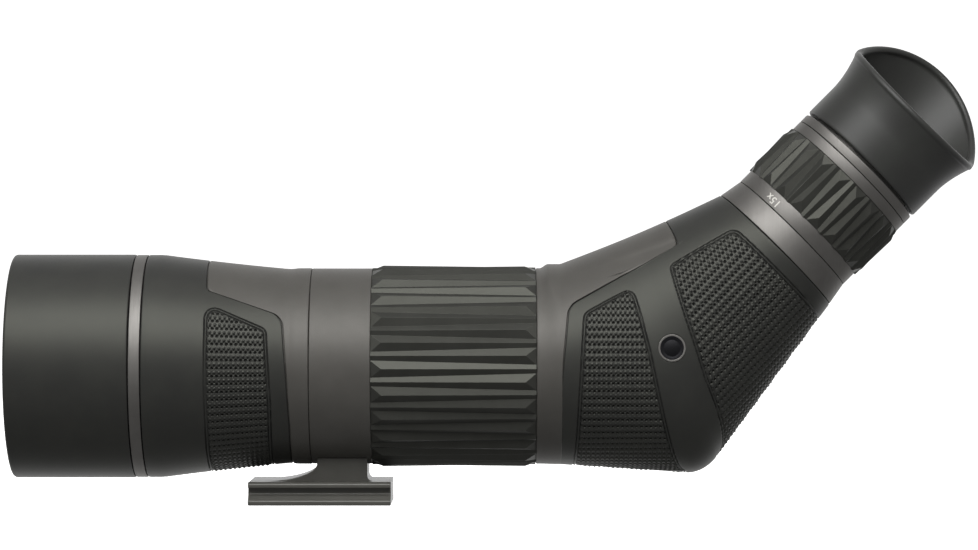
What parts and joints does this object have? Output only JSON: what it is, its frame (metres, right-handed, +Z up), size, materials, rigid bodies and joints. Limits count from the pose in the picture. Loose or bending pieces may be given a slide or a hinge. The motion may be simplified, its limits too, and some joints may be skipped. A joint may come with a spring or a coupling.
{
  "type": "spotting scope",
  "caption": "Angled zoom spotting scope with a rotating dovetail tripod collar, barrel focus ring, sliding sunshade, rubber armour and a twist-up winged eyecup.",
  "frame": {"origin": "centre of the tripod thread's mouth in the foot's bottom face", "axes": "+Z up; the optical axis runs along X, objective towards -X; the eyepiece rises at 45 degrees towards +X; +Y is the side of the lock knob"},
  "size_m": [0.336, 0.089, 0.1599],
  "materials": {
    "painted_alloy": "fine satin warm-grey paint on cast alloy",
    "satin_anodised_rings": "satin titanium-grey anodising on turned rings",
    "black_anodised_alloy": "matt black anodised",
    "rubber_armour": "matt moulded rubber",
    "seal_rubber": "smooth nitrile",
    "coated_glass": "anti-reflection coated optical glass",
    "steel_fittings": "stainless steel, turned",
    "acetal": "natural acetal, turned",
    "brass_shoe": "turned brass",
    "badge": "plain satin disc"
  },
  "bodies": {
    "mount": {"tripod_collar": "painted_alloy", "collar_bush": "acetal", "thread_insert": "steel_fittings", "lock_shoe": "brass_shoe"},
    "lock": {"lock_screw": "steel_fittings", "lock_knob": "black_anodised_alloy"},
    "scope": {"front_barrel": "painted_alloy", "barrel_armour": "rubber_armour", "band_ring": "satin_anodised_rings", "objective_tube": "black_anodised_alloy", "hood_rings": "seal_rubber", "front_element": "coated_glass", "element_spacer": "black_anodised_alloy", "rear_element": "coated_glass", "objective_retainer": "black_anodised_alloy", "light_baffles": "black_anodised_alloy", "main_tube": "black_anodised_alloy", "tube_seals": "seal_rubber", "prism_housing": "painted_alloy", "housing_armour": "rubber_armour", "badge_disc": "badge", "prism_cage": "black_anodised_alloy", "prism_screws": "steel_fittings", "cage_retainer": "black_anodised_alloy", "roof_prism": "coated_glass", "cone_ring": "satin_anodised_rings", "neck_seal": "seal_rubber", "guide_tube": "black_anodised_alloy", "top_ring": "satin_anodised_rings", "eye_cell": "black_anodised_alloy", "field_element": "coated_glass", "eye_spacer": "black_anodised_alloy", "eye_element": "coated_glass", "eye_retainer": "black_anodised_alloy"},
    "hood": {"hood_tube": "black_anodised_alloy", "hood_armour": "rubber_armour"},
    "focus_ring": {"focus_sleeve": "black_anodised_alloy", "focus_grip": "rubber_armour"},
    "focus_carriage": {"focus_cell": "black_anodised_alloy", "focus_pins": "steel_fittings", "focus_lens": "coated_glass", "focus_retainer": "black_anodised_alloy"},
    "zoom": {"zoom_ring": "satin_anodised_rings", "zoom_grip": "rubber_armour", "zoom_cam": "black_anodised_alloy"},
    "front_zoom_carriage": {"front_zoom_cell": "black_anodised_alloy", "front_zoom_lens": "coated_glass", "front_zoom_retainer": "black_anodised_alloy", "front_zoom_pins": "steel_fittings"},
    "rear_zoom_carriage": {"rear_zoom_cell": "black_anodised_alloy", "rear_zoom_lens": "coated_glass", "rear_zoom_retainer": "black_anodised_alloy", "rear_zoom_pins": "steel_fittings"},
    "eyecup_lift": {"eyecup_slider": "acetal"},
    "eyecup": {"eyecup_sleeve": "black_anodised_alloy", "eyecup": "rubber_armour"}
  },
  "joints": [
    {"name": "collar_turn", "type": "hinge", "parent": "mount", "child": "scope", "pos_m": [0.0074, 0, 0.0475], "axis": [1, 0, 0], "continuous": true},
    {"name": "lock_turn", "type": "hinge", "parent": "mount", "child": "lock", "pos_m": [0.0074, 0.045, 0.0475], "axis": [0, 1, 0], "range_deg": [0, 540]},
    {"name": "hood_slide", "type": "slide", "parent": "scope", "child": "hood", "axis": [-1, 0, 0], "range_m": [0, 0.022]},
    {"name": "focus_turn", "type": "hinge", "parent": "scope", "child": "focus_ring", "pos_m": [0.046, 0, 0.0475], "axis": [1, 0, 0], "range_deg": [-150, 150]},
    {"name": "focus_travel", "type": "slide", "parent": "scope", "child": "focus_carriage", "axis": [1, 0, 0], "range_m": [-0.0065, 0.0065]},
    {"name": "zoom_turn", "type": "hinge", "parent": "scope", "child": "zoom", "pos_m": [0.17377, 0, 0.10407], "axis": [0.7071, 0, 0.7071], "range_deg": [0, 140]},
    {"name": "front_zoom_travel", "type": "slide", "parent": "scope", "child": "front_zoom_carriage", "axis": [0.7071, 0, 0.7071], "range_m": [0, 0.0046]},
    {"name": "rear_zoom_travel", "type": "slide", "parent": "scope", "child": "rear_zoom_carriage", "axis": [0.7071, 0, 0.7071], "range_m": [-0.0046, 0]},
    {"name": "eyecup_rise", "type": "slide", "parent": "scope", "child": "eyecup_lift", "axis": [0.7071, 0, 0.7071], "range_m": [0, 0.0091]},
    {"name": "eyecup_turn", "type": "hinge", "parent": "eyecup_lift", "child": "eyecup", "pos_m": [0.19498, 0, 0.12528], "axis": [0.7071, 0, 0.7071], "range_deg": [0, 120]}
  ],
  "couplings": [
    {"joint": "focus_travel", "follows": "focus_turn", "m_per_rad": 0.0023873},
    {"joint": "front_zoom_travel", "follows": "zoom_turn", "m_per_rad": 0.0018417},
    {"joint": "rear_zoom_travel", "follows": "zoom_turn", "m_per_rad": -0.0018417},
    {"joint": "eyecup_rise", "follows": "eyecup_turn", "m_per_rad": 0.0042972}
  ]
}
